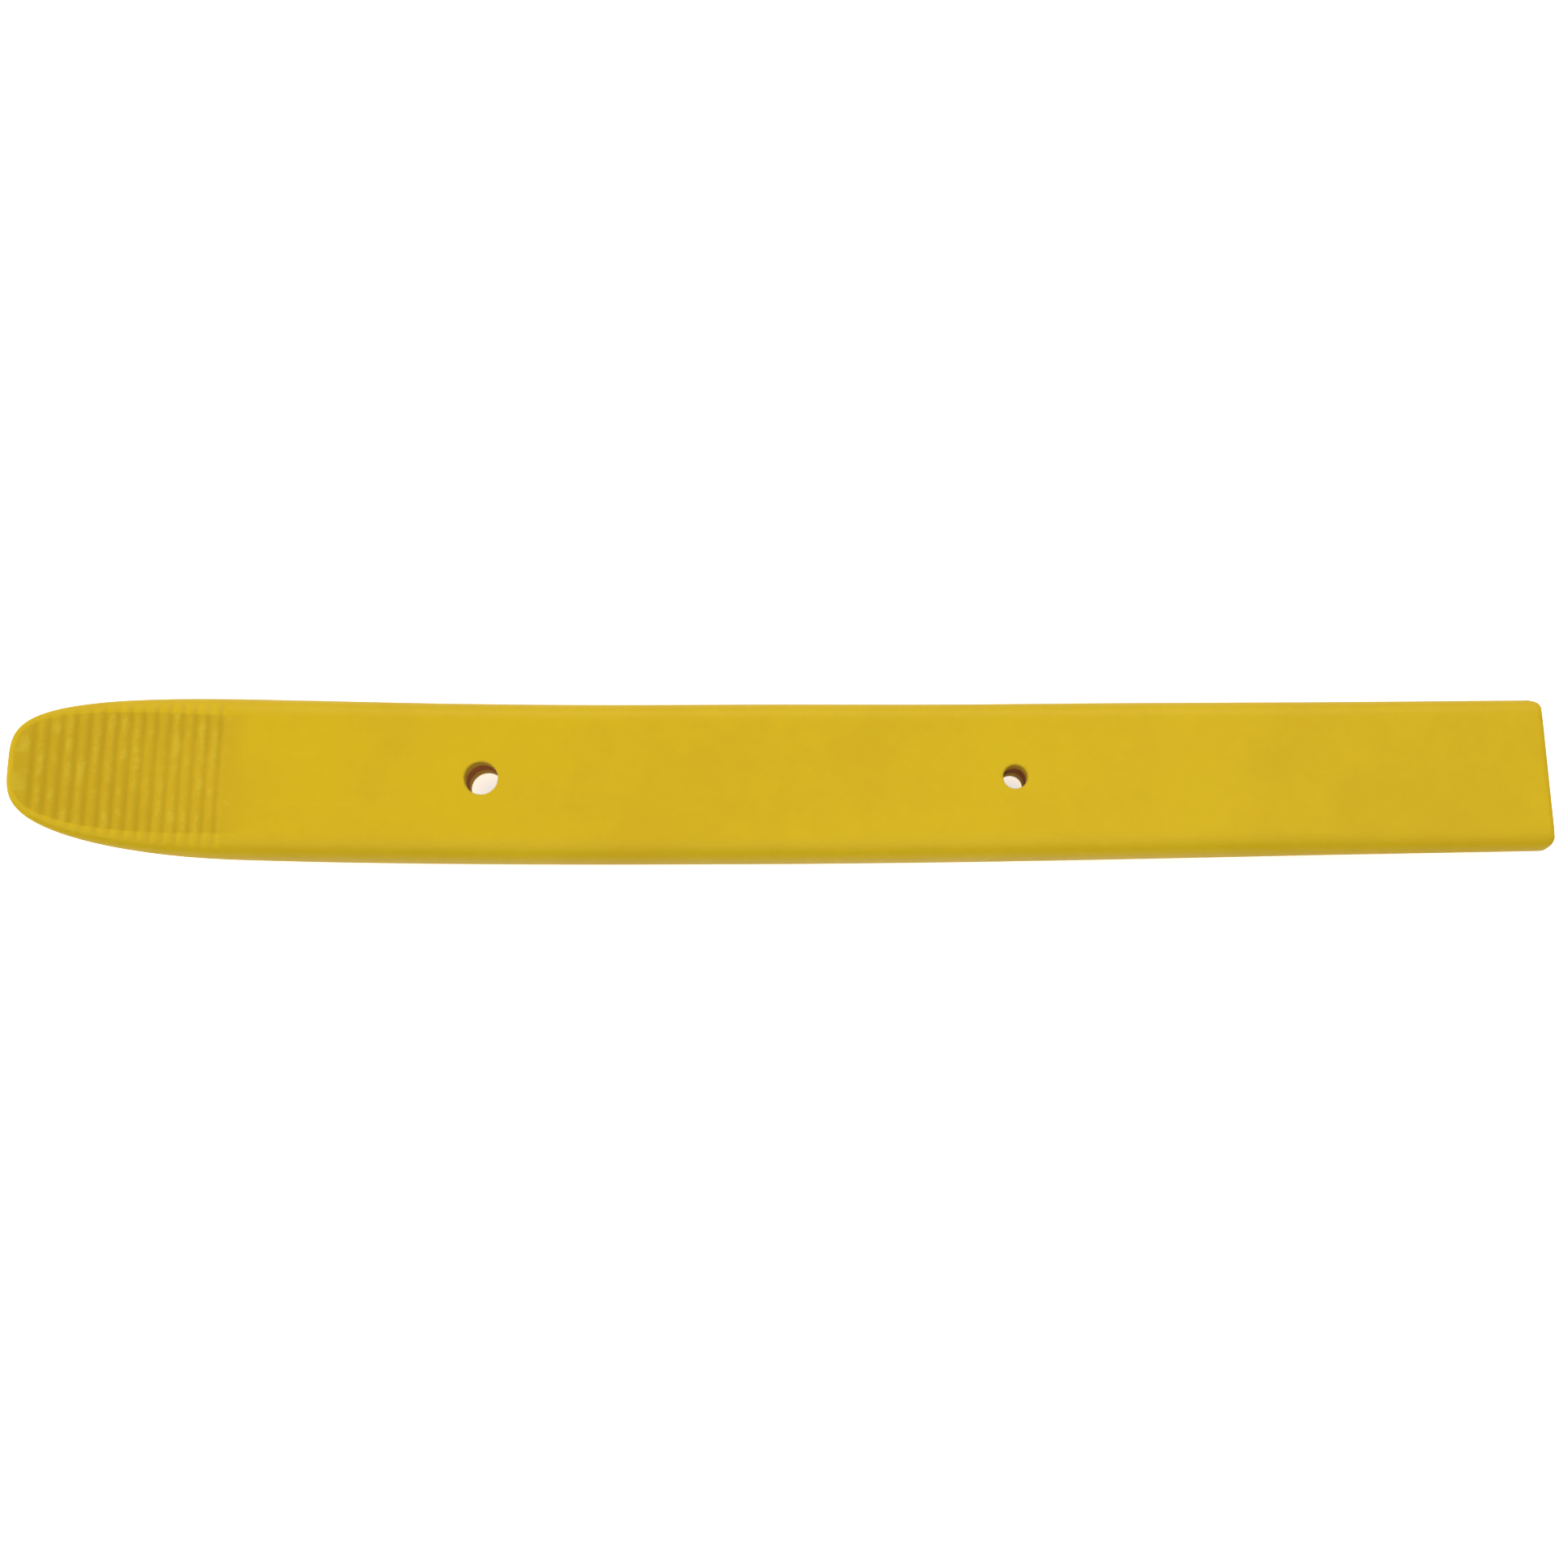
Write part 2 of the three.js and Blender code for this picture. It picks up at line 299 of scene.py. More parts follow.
class Skin:
    """One mesh in the making: whole grids of points and the four-sided faces between them."""

    def __init__(self):
        self.points, self.faces, self.wear, self.soil_and_shade = [], [], [], []
        self.count = 0

    def add(self, x, y, z, wear=0.0, soil_and_shade=0.0):
        """Adds a grid of points and returns their numbers in the same grid."""
        x, y, z, wear, soil_and_shade = np.broadcast_arrays(x, y, z, wear, soil_and_shade)
        self.points.append(np.stack([x, y, z], -1).reshape(-1, 3))
        self.wear.append(wear.ravel())
        self.soil_and_shade.append(soil_and_shade.ravel())
        numbers = np.arange(self.count, self.count + x.size).reshape(x.shape)
        self.count += x.size
        return numbers

    def join(self, grid, closed=False, flip=False, keep=None):
        """Adds the faces between neighbours in a grid of point numbers.

        closed joins the last column to the first, flip turns the faces over, and keep is a mask
        of the cells that get a face.
        """
        nxt = np.roll(grid, -1, 1) if closed else grid[:, 1:]
        here = grid if closed else grid[:, :-1]
        quads = np.stack([here[:-1], nxt[:-1], nxt[1:], here[1:]], -1)
        quads = quads[keep] if keep is not None else quads.reshape(-1, 4)
        self.faces.append(quads[:, ::-1] if flip else quads)

    def to_object(self, name, material):
        """The finished piece, with wear, and soil with painted shade, as attributes of its points."""
        points = np.concatenate(self.points)
        faces = np.concatenate(self.faces)
        mesh = bpy.data.meshes.new(name)
        mesh.vertices.add(len(points))
        mesh.vertices.foreach_set("co", points.astype(np.float32).ravel())
        mesh.loops.add(faces.size)
        mesh.loops.foreach_set("vertex_index", faces.astype(np.int32).ravel())
        mesh.polygons.add(len(faces))
        mesh.polygons.foreach_set("loop_start", np.arange(0, faces.size, 4, dtype=np.int32))
        mesh.polygons.foreach_set("use_smooth", np.ones(len(faces), bool))
        for label, values in (("wear", self.wear), ("soil_and_shade", self.soil_and_shade)):
            layer = mesh.attributes.new(label, "FLOAT", "POINT")
            layer.data.foreach_set("value", np.concatenate(values).astype(np.float32))
        mesh.update(calc_edges=True)
        mesh.validate()
        mesh.materials.append(material)
        piece = bpy.data.objects.new(name, mesh)
        bpy.context.scene.collection.objects.link(piece)
        return piece


def spaced(start, stop, spacing_at):
    """Distances from start to stop whose spacing follows spacing_at.

    The number of cells passed is the area under 1 / spacing_at, and each distance is where that
    area reaches the next whole cell, after it is stretched a little to end on one.
    """
    fine = np.linspace(start, stop, SPACING_SAMPLES)
    density = 1 / spacing_at(fine)
    total = np.concatenate([[0], np.cumsum((density[1:] + density[:-1]) / 2 * np.diff(fine))])
    count = int(round(total[-1]))
    return np.interp(np.linspace(0, total[-1], count + 1), total, fine)


def flat_grid(outline, spacing_at, across, blend):
    """Plan points of a flat face, rows across the bar and columns along it.

    Straight lines across the bar join matching points of the two long sides; towards both ends
    they are drawn out, over the length blend, until they follow the end's own outline. Also
    returned, for each point of the grid's border: its distance along the outline, and its side.
    """
    side = spaced(outline.front, outline.back, lambda s: spacing_at(outline.at(s, "x")))
    share = np.linspace(-1, 1, across + 1)
    qx, qy = outline.at(side, "inner_x"), outline.at(side, "inner_y")
    front = outline.s <= outline.front
    back = outline.s >= outline.back
    tip = np.interp(np.abs(share) * qy[0], outline.inner_y[front], outline.s[front])
    end = np.interp(np.abs(share) * qy[-1], outline.inner_y[back][::-1], outline.s[back][::-1])
    tip_pull = (outline.at(tip, "inner_x") - qx[0])[:, None] * (1 - smooth(qx, qx[0], qx[0] + blend))
    end_pull = (outline.at(end, "inner_x") - qx[-1])[:, None] * smooth(qx, qx[-1] - blend, qx[-1])
    x = qx[None, :] + tip_pull + end_pull
    y = share[:, None] * qy[None, :]
    loop_s = np.concatenate([tip, side[1:], end[::-1][1:], side[::-1][1:-1]])
    far, near = np.ones(len(side) - 1), -np.ones(len(side) - 2)
    sign = np.sign(np.concatenate([share, far, share[::-1][1:], near]))
    return x, y, loop_s, sign


def border(grid):
    """The outer border of a grid, from its first row's start round by the last row."""
    return np.concatenate([grid[:, 0], grid[-1, 1:], grid[::-1, -1][1:], grid[0, ::-1][1:-1]])


def patch_border(grid, k0, k1, i0, i1):
    """The border of a square patch of a grid, anticlockwise from its near corner."""
    return np.concatenate([
        grid[k0, i0:i1], grid[k0:k1, i1], grid[k1, i1:i0:-1], grid[k1:k0:-1, i0],
    ])


def face_with_bores(skin, x, y, height, bores, up, marks):
    """One flat face: the grid, with a patch round each bore redrawn as rings round the hole.

    height(x, y) gives the face, marks(x, y) its wear and its soil with painted shade, and bores are
    (x, radius, rim). Each ring slides from the patch's border to the mouth of the bore, and the last
    few turn down a quarter round of radius rim, worn on its shoulder and with soil and painted shade
    growing further in. Returns the grid of numbers and, for each bore, the numbers round the hole.
    """
    wear, soil_and_shade = marks(x, y)
    grid = skin.add(x, y, height(x, y), wear, soil_and_shade)
    keep = np.ones((grid.shape[0] - 1, grid.shape[1] - 1), bool)
    middle_row = grid.shape[0] // 2
    holes = []
    for bore_x, radius, rim in bores:
        column = int(np.argmin(np.abs(x[middle_row] - bore_x)))
        k0, k1 = middle_row - BLOCK, middle_row + BLOCK
        i0, i1 = column - BLOCK, column + BLOCK
        keep[k0:k1, i0:i1] = False
        edge = patch_border(grid, k0, k1, i0, i1)
        edge_x, edge_y = patch_border(x, k0, k1, i0, i1), patch_border(y, k0, k1, i0, i1)
        angle = -3 * math.pi / 4 + 2 * math.pi * np.arange(len(edge)) / len(edge)
        mouth_x, mouth_y = np.cos(angle), np.sin(angle)
        rings = [edge]
        for t in np.linspace(0, 1, PATCH_RINGS + 1)[1:]:
            ease = t * (1 + RING_LEAD - RING_LEAD * t)
            ring_x = edge_x + (bore_x + (radius + rim) * mouth_x - edge_x) * ease
            ring_y = edge_y + ((radius + rim) * mouth_y - edge_y) * ease
            wear, soil_and_shade = marks(ring_x, ring_y)
            rings.append(skin.add(ring_x, ring_y, height(ring_x, ring_y), wear, soil_and_shade))
        for share in np.linspace(0, 1, RIM_RINGS + 1)[1:] if rim > 0 else []:
            turn = math.pi / 2 * share
            reach = radius + rim * (1 - math.sin(turn))
            ring_x, ring_y = bore_x + reach * mouth_x, reach * mouth_y
            ring_z = height(ring_x, ring_y) - up * rim * (1 - math.cos(turn))
            # The rim's rings darken into the hole with the soil mark: painted shade together with
            # soil.
            rings.append(skin.add(ring_x, ring_y, ring_z, math.sin(2 * turn), share))
        skin.join(np.stack(rings), closed=True, flip=up < 0)
        holes.append(rings[-1])
    skin.join(grid, flip=up < 0, keep=keep)
    return grid, holes


def edge_band(skin, outline, loop_s, sign, top_border, bottom_border, form):
    """The rounded edge all the way round, from the top face's border to the bottom face's.

    At each turn a of the quarter round, the point has moved outwards by the edge's width times
    sin(a) to the power 2 / EDGE_FULLNESS, and down by its height times 1 - cos(a). The parting
    line, a low ridge, runs round the middle of the wall between the two quarter rounds.
    """
    inner_x, inner_y = outline.at(loop_s, "inner_x"), outline.at(loop_s, "inner_y") * sign
    out_x, out_y = outline.at(loop_s, "x") - inner_x, outline.at(loop_s, "y") * sign - inner_y
    nx, ny = outline.at(loop_s, "nx"), outline.at(loop_s, "ny") * sign
    height = outline.at(loop_s, "height")
    wall_x, wall_y = inner_x + out_x, inner_y + out_y
    wall = form.top(wall_x, wall_y) - form.bottom(wall_x, wall_y) - 2 * height
    ridge = np.minimum(form.ridge, PARTING_SHARE * wall)
    turns = math.pi / 2 * np.linspace(0, 1, EDGE_ROWS + 1)[1:] ** (EDGE_FULLNESS / 2)
    grids = [top_border]
    for turn in turns:
        out = math.sin(turn) ** (2 / EDGE_FULLNESS)
        x, y = inner_x + out_x * out, inner_y + out_y * out
        z = form.top(x, y) - height * (1 - math.cos(turn))
        grids.append(skin.add(x, y, z, EDGE_WEAR * math.sin(2 * turn)))
    for place, proud in WALL_ROWS:
        x, y = wall_x + nx * ridge * proud, wall_y + ny * ridge * proud
        upper, lower = form.top(x, y) - height, form.bottom(x, y) + height
        z = (upper + lower) / 2 + place * (upper - lower) / 2
        grids.append(skin.add(x, y, z, PARTING_WEAR * proud))
    for turn in turns[::-1]:
        out = math.sin(turn) ** (2 / EDGE_FULLNESS)
        x, y = inner_x + out_x * out, inner_y + out_y * out
        z = form.bottom(x, y) + height * (1 - math.cos(turn))
        grids.append(skin.add(x, y, z, EDGE_WEAR * math.sin(2 * turn)))
    grids.append(bottom_border)
    skin.join(np.stack(grids), closed=True, flip=form.inside_out)


def draw_round(x, y, centre, radii):
    """Bends the square rings of cells round one grid point into circles of the given radii.

    The rings are counted in cells from that point, and their points are evenly spaced round each
    circle. Past the last radius the rings ease back, over EASE_BACK cells, to the grid as it was.
    Returns the place of that grid point, the marks' middle.
    """
    k, i = np.unravel_index(np.argmin(np.hypot(x - centre[0], y - centre[1])), x.shape)
    reach = len(radii) + EASE_BACK
    patch = np.s_[k - reach:k + reach + 1, i - reach:i + reach + 1]
    v, u = np.mgrid[-reach:reach + 1, -reach:reach + 1]
    ring = np.maximum(np.abs(u), np.abs(v))
    along_x = np.abs(u) >= np.abs(v)
    major, minor = np.where(along_x, u, v), np.where(along_x, v, u)
    angle = math.pi / 4 * minor / np.where(major == 0, 1, major)
    major, minor = np.sign(major) * np.cos(angle), np.sign(major) * np.sin(angle)
    radius = np.interp(ring, np.arange(len(radii) + 1), [0, *radii])
    to_grid = smooth(ring, len(radii), reach)
    mark_x, mark_y = x[k, i], y[k, i]
    round_x = mark_x + radius * np.where(along_x, major, minor)
    round_y = mark_y + radius * np.where(along_x, minor, major)
    x[patch] = round_x + (x[patch] - round_x) * to_grid
    y[patch] = round_y + (y[patch] - round_y) * to_grid
    return mark_x, mark_y


def unmarked(x, y):
    """Neither wear nor soil with painted shade."""
    return 0.0, 0.0


class Form:
    """What makes one bent flat bar: its outline, the heights of its faces and its grid's spacing."""

    outline = None
    across = 24                   # cells across the flat faces
    blend = 12 * MM               # length over which the grid follows each end's outline
    rim = 0.0                     # rounding of the bores' mouths
    ridge = 0.0                   # height of the parting line
    inside_out = False

    def marks(self, x, y):
        """Wear, and soil with painted shade, on the top face."""
        return unmarked(x, y)

    def dents(self, x, y):
        """Redraws the underside's grid where it has round marks."""


def slab(skin, form):
    """A bent flat bar: two flat faces joined by the edge band. Returns the bores' loops."""
    x, y, loop_s, sign = flat_grid(form.outline, form.spacing, form.across, form.blend)
    up = -1 if form.inside_out else 1
    holes = [(bore_x, radius, form.rim) for bore_x, radius in BORE_PLACES]
    upper, upper_holes = face_with_bores(skin, x, y, form.top, holes, up, form.marks)
    form.dents(x, y)
    lower, lower_holes = face_with_bores(skin, x, y, form.bottom, holes, -up, unmarked)
    edge_band(skin, form.outline, loop_s, sign, border(upper), border(lower), form)
    return upper_holes, lower_holes


def bore_wall(skin, start, stop, soil_and_shade, steps):
    """The wall between two loops round a bore: straight lines from one to the other."""
    points = np.concatenate(skin.points)
    a, b = points[start], points[stop]
    rows = [start]
    for t in np.linspace(0, 1, steps + 1)[1:-1]:
        ring = a + (b - a) * t
        rows.append(skin.add(ring[:, 0], ring[:, 1], ring[:, 2], 0.0, soil_and_shade))
    rows.append(stop)
    skin.join(np.stack(rows), closed=True)


# ---- The two pieces --------------------------------------------------------------------------

BORE_PLACES = [(float(OPENINGS[name][:, 0].mean()), radius) for name, radius in BORES]

# Lengths of the grids' cells along the bar, and where one gives way to the next.
RIB_CELL, PLAIN_CELL, BORE_CELL, END_CELL = 0.36 * MM, 2.26 * MM, 0.88 * MM, 0.55 * MM
PAST_RIBS = (TIP_X + 70 * MM, TIP_X + 80 * MM)
ROUND_BORE = (11 * MM, 20 * MM)
NEAR_END = (END_X - 16 * MM, END_X - 6 * MM)
BAR_CELL, BAR_BORE_CELL = 6 * MM, 1.45 * MM
ROUND_BAR_BORE = (17 * MM, 26 * MM)

RIB_WEAR, CREST_WEAR = 0.25, 0.35         # over the whole ribbed patch, and more on its crests
RIB_SOIL_AND_SHADE, GROOVE_SOIL_AND_SHADE = 0.85, 0.4         # soil and painted shade over the whole ribbed patch, and more of both in its grooves
# Full soil mark on the bores' walls: painted shade with soil, darker down the holes.
BORE_SOIL_AND_SHADE = 1.0
BORE_ROWS, BAR_BORE_ROWS = 6, 8           # rows of cells down the bores' walls


def near_bores(x, spacing, wanted, start, stop):
    """Brings a spacing down to the wanted one within start of a bore, easing to nothing at stop."""
    for bore_x, _ in BORE_PLACES:
        near = 1 - smooth(np.abs(x - bore_x), start, stop)
        spacing = spacing + (wanted - spacing) * near
    return spacing


class BodyForm(Form):
    """The moulded body's outer skin."""

    outline = BODY_OUTLINE
    across = 46
    blend = 24 * MM
    rim = RIM
    ridge = PARTING_LINE

    def __init__(self):
        self.marked = []

    def spacing(self, x):
        """Fine through the ribs, medium round the bores and at the end, wide in between."""
        spacing = RIB_CELL + (PLAIN_CELL - RIB_CELL) * smooth(x, *PAST_RIBS)
        spacing = near_bores(x, spacing, BORE_CELL, *ROUND_BORE)
        return spacing + (END_CELL - spacing) * smooth(x, *NEAR_END)

    def top(self, x, y):
        """The top face, with the ribs' grooves."""
        return middle(x) + thickness(x) / 2 - RIB_DEPTH * groove(x, y) + cooling(x, y, 1)

    def bottom(self, x, y):
        """The underside, with the round marks pressed into it by their profiles."""
        z = middle(x) - thickness(x) / 2 + cooling(x, y, -1)
        for mark_x, mark_y, profile in self.marked:
            radii, depths = np.transpose(profile) * MM
            z = z + np.interp(np.hypot(x - mark_x, y - mark_y), radii, depths)
        return z

    def dents(self, x, y):
        """Redraws the grid in circles round each mark, and notes where the mark came to lie."""
        for place, profile in DENTS:
            radii = [radius * MM for radius, _ in profile]
            self.marked.append((*draw_round(x, y, place, radii), profile))

    def marks(self, x, y):
        """Wear on the crests of the ribs; soil and painted shade over the ribbed patch, more in its
        grooves.
        """
        ribbed = 1 - smooth(x, *RIBBED_FADE)
        depth = groove(x, y)
        wear = ribbed * (RIB_WEAR + CREST_WEAR * (1 - depth))
        # Soil with painted shade: darker over the whole ribbed patch and more in the grooves.
        return wear, RIB_SOIL_AND_SHADE * ribbed + GROOVE_SOIL_AND_SHADE * depth


class BarForm(Form):
    """The steel bar's surface, or its pocket in the body when grown and turned inside out."""

    def __init__(self, grow, inside_out):
        self.half = CORE_THICKNESS / 2 + grow
        self.inside_out = inside_out
        self.outline = bar_outline(
            CORE_LOW.x - grow, CORE_HIGH.x + grow, CORE_HIGH.y + grow, CORE_CORNER, CORE_EDGE)

    def spacing(self, x):
        """Medium round the bores and wide elsewhere."""
        return near_bores(x, np.full(np.shape(x), BAR_CELL), BAR_BORE_CELL, *ROUND_BAR_BORE)

    def top(self, x, y):
        """The bar's even thickness above the middle plane."""
        return middle(x) + self.half

    def bottom(self, x, y):
        """The bar's even thickness below the middle plane."""
        return middle(x) - self.half


def moulded_body(material):
    """The plastic body: its outer skin, and the core's pocket inside, which opens into the bores."""
    skin = Skin()
    top_holes, bottom_holes = slab(skin, BodyForm())
    pocket_top, pocket_bottom = slab(skin, BarForm(CLEARANCE, True))
    # The bores' walls carry the soil mark, which paints shade into the holes.
    for outer, inner in zip(top_holes, pocket_top):
        bore_wall(skin, outer, inner, BORE_SOIL_AND_SHADE, BORE_ROWS)
    for inner, outer in zip(pocket_bottom, bottom_holes):
        bore_wall(skin, inner, outer, BORE_SOIL_AND_SHADE, BORE_ROWS)
    return skin.to_object("moulded_shell", material)


def steel_core(material):
    """The flat steel bar, drilled where the bores pass."""
    skin = Skin()
    top_holes, bottom_holes = slab(skin, BarForm(0.0, False))
    for upper, lower in zip(top_holes, bottom_holes):
        bore_wall(skin, upper, lower, 0.0, BAR_BORE_ROWS)
    return skin.to_object("steel_bar", material)


# ---- Shader node groups ----------------------------------------------------------------------

def node_group(name, inputs, outputs):
    """An empty shader node group with named sockets: (name, default) in, names out."""
    group = bpy.data.node_groups.new(name, "ShaderNodeTree")
    for label, default in inputs:
        kind = "NodeSocketVector" if default is None else "NodeSocketFloat"
        socket = group.interface.new_socket(label, in_out="INPUT", socket_type=kind)
        if default is not None:
            socket.default_value = default
    for label in outputs:
        group.interface.new_socket(label, in_out="OUTPUT", socket_type="NodeSocketFloat")
    return group, group.nodes.new("NodeGroupInput"), group.nodes.new("NodeGroupOutput")


def feed(tree, socket, value):
    """Gives a socket its value: another socket, a number, or a colour of three numbers."""
    if isinstance(value, bpy.types.NodeSocket):
        tree.links.new(value, socket)
    else:
        socket.default_value = (*value, 1) if isinstance(value, tuple) else value


def math_node(tree, operation, *values, clamp=False):
    """A Math node; each value is a number or a socket. Returns its output."""
    node = tree.nodes.new("ShaderNodeMath")
    node.operation = operation
    node.use_clamp = clamp
    for socket, value in zip(node.inputs, values):
        feed(tree, socket, value)
    return node.outputs[0]


def between(tree, mask, start, stop):
    """A value that goes from start to stop as a mask goes from 0 to 1."""
    return math_node(tree, "MULTIPLY_ADD", mask, stop - start, start, clamp=True)


def mean(tree, first, second, share):
    """The mean of two values, weighted by the first one's share."""
    scaled = math_node(tree, "MULTIPLY", second, 1 - share)
    return math_node(tree, "MULTIPLY_ADD", first, share, scaled)


def noise(tree, vector, scale, detail, roughness=0.5):
    """A Noise Texture; scale is a number or a socket. Returns its grey value."""
    node = tree.nodes.new("ShaderNodeTexNoise")
    feed(tree, node.inputs["Vector"], vector)
    feed(tree, node.inputs["Scale"], scale)
    feed(tree, node.inputs["Detail"], detail)
    feed(tree, node.inputs["Roughness"], roughness)
    return node.outputs["Fac"]


def ramp(tree, value, low, high):
    """Maps low to 0 and high to 1 with a smooth step between."""
    node = tree.nodes.new("ShaderNodeMapRange")
    node.interpolation_type = "SMOOTHSTEP"
    feed(tree, node.inputs["Value"], value)
    feed(tree, node.inputs["From Min"], low)
    feed(tree, node.inputs["From Max"], high)
    return node.outputs["Result"]


def stretched(tree, vector, scale, turn):
    """The coordinates scaled along each axis and turned about Z."""
    node = tree.nodes.new("ShaderNodeMapping")
    feed(tree, node.inputs["Vector"], vector)
    node.inputs["Scale"].default_value = scale
    node.inputs["Rotation"].default_value = (0, 0, turn)
    return node.outputs["Vector"]


def make_cloud_group():
    """Slow blotches, as pigment and handling leave: two sizes of noise."""
    group, gin, gout = node_group("pigment_cloud", [("Vector", None), ("Scale", 20.0)], ["Cloud"])
    scale = gin.outputs["Scale"]
    broad = noise(group, gin.outputs["Vector"], scale, detail=3.0)
    fine_scale = math_node(group, "MULTIPLY", scale, 7.0)
    fine = noise(group, gin.outputs["Vector"], fine_scale, detail=4.0, roughness=0.6)
    mixed = mean(group, broad, fine, share=0.7)
    feed(group, gout.inputs["Cloud"], ramp(group, mixed, low=0.32, high=0.68))
    return group


def make_grain_group():
    """Spark-eroded mould grain: fine rounded bumps with a little broad orange peel under them."""
    group, gin, gout = node_group("mould_grain", [("Vector", None), ("Scale", 1500.0)], ["Height"])
    scale = gin.outputs["Scale"]
    fine = noise(group, gin.outputs["Vector"], scale, detail=2.0, roughness=0.45)
    peel_scale = math_node(group, "MULTIPLY", scale, 0.16)
    peel = noise(group, gin.outputs["Vector"], peel_scale, detail=1.0)
    feed(group, gout.inputs["Height"], mean(group, fine, peel, share=0.6))
    return group


# The scuffs' noise: its scale along, across and through the bar, and its turn in radians.
SCUFF_LINES = [((14, 900, 60), 0.05), ((22, 700, 60), -0.16), ((500, 20, 60), 0.3)]


def make_scuff_group():
    """Fine rubbed lines along the bar and a few across it: stretched noise cut to thin bands."""
    group, gin, gout = node_group("scuffs", [("Vector", None), ("Amount", 0.5)], ["Mask"])
    vector = gin.outputs["Vector"]
    total = 0.0
    for scale, turn in SCUFF_LINES:
        lines = stretched(group, vector, scale, turn)
        band = noise(group, lines, scale=1.0, detail=3.0, roughness=0.6)
        thin = ramp(group, band, low=0.62, high=0.74)
        total = math_node(group, "ADD", total, thin, clamp=True)
    patches = ramp(group, noise(group, vector, scale=38.0, detail=3.0), low=0.45, high=0.68)
    masked = math_node(group, "MULTIPLY", total, patches)
    amount = math_node(group, "MULTIPLY", masked, gin.outputs["Amount"], clamp=True)
    feed(group, gout.inputs["Mask"], amount)
    return group


def make_edge_group():
    """Wear that starts at the exposed places and breaks up in blotches."""
    inputs = [("Vector", None), ("Exposed", 0.0), ("Amount", 0.5)]
    group, gin, gout = node_group("edge_wear", inputs, ["Mask"])
    blotch = noise(group, gin.outputs["Vector"], scale=160.0, detail=5.0, roughness=0.65)
    reach = math_node(group, "MULTIPLY", gin.outputs["Exposed"], gin.outputs["Amount"])
    over = math_node(group, "ADD", math_node(group, "SUBTRACT", blotch, 0.75), reach)
    feed(group, gout.inputs["Mask"], ramp(group, over, low=0.0, high=0.25))
    return group


def place_group(tree, group, **inputs):
    """Places a node group with its own input values. Returns its one output."""
    node = tree.nodes.new("ShaderNodeGroup")
    node.node_tree = group
    for label, value in inputs.items():
        feed(tree, node.inputs[label], value)
    return node.outputs[0]


def mix_colour(tree, factor, first, second):
    """Mixes two colours, each a tuple or a socket, by a factor that is a socket."""
    node = tree.nodes.new("ShaderNodeMix")
    node.data_type = "RGBA"
    feed(tree, node.inputs["Factor"], factor)
    feed(tree, node.inputs["A"], first)
    feed(tree, node.inputs["B"], second)
    return node.outputs["Result"]


def new_material(name):
    """A material, its node tree and Principled shader, and the piece's own coordinates."""
    material = bpy.data.materials.new(name)
    material.use_nodes = True
    tree = material.node_tree
    shader = tree.nodes["Principled BSDF"]
    coordinates = tree.nodes.new("ShaderNodeTexCoord").outputs["Object"]
    return material, tree, shader, coordinates


def mesh_mark(tree, name):
    """The value of one of the mesh's attributes, wear or soil with painted shade."""
    node = tree.nodes.new("ShaderNodeAttribute")
    node.attribute_name = name
    return node.outputs["Fac"]


def bump(tree, height, distance, normal=None):
    """The normal of a height field of the given depth, laid over another normal if there is one."""
    node = tree.nodes.new("ShaderNodeBump")
    feed(tree, node.inputs["Strength"], 1.0)
    feed(tree, node.inputs["Distance"], distance)
    feed(tree, node.inputs["Height"], height)
    if normal is not None:
        feed(tree, node.inputs["Normal"], normal)
    return node.outputs["Normal"]


# ---- Materials -------------------------------------------------------------------------------

# Colours in linear light.
YELLOW = (0.75, 0.503, 0.001)
YELLOW_DEEP = (0.705, 0.46, 0.001)
YELLOW_RUBBED = (0.78, 0.57, 0.03)
# Darker orange-yellow of the soil mark, which is soil and painted shade together.
SOIL_AND_SHADE = (0.38, 0.19, 0.004)
SCALE_DARK = (0.07, 0.035, 0.02)
RUST = (0.46, 0.15, 0.008)
BARE_STEEL = (0.25, 0.22, 0.2)

WHITE = (1, 1, 1)
FLOOR_GREY = (0.93, 0.93, 0.93)
FLOOR_WHITE = (0.96, 0.96, 0.96)

PLASTIC_ROUGHNESS = 0.5
PLASTIC_IOR = 1.5
PLASTIC_SPECULAR = 0.25           # the grain hides half of a smooth plastic's gloss
PLASTIC_GRAIN = 0.08 * MM
SCUFF_DEPTH = 0.02 * MM

SCALE_METALLIC, RUST_METALLIC = 0.9, 0.1
SCALE_ROUGHNESS, RUST_ROUGHNESS = 0.5, 0.85
STEEL_GRAIN = 0.06 * MM

FLOOR_ROUGHNESS = 0.9
FLOOR_GLOW = (0.5, 0.1)           # the glow that only shows, and the glow that also lights


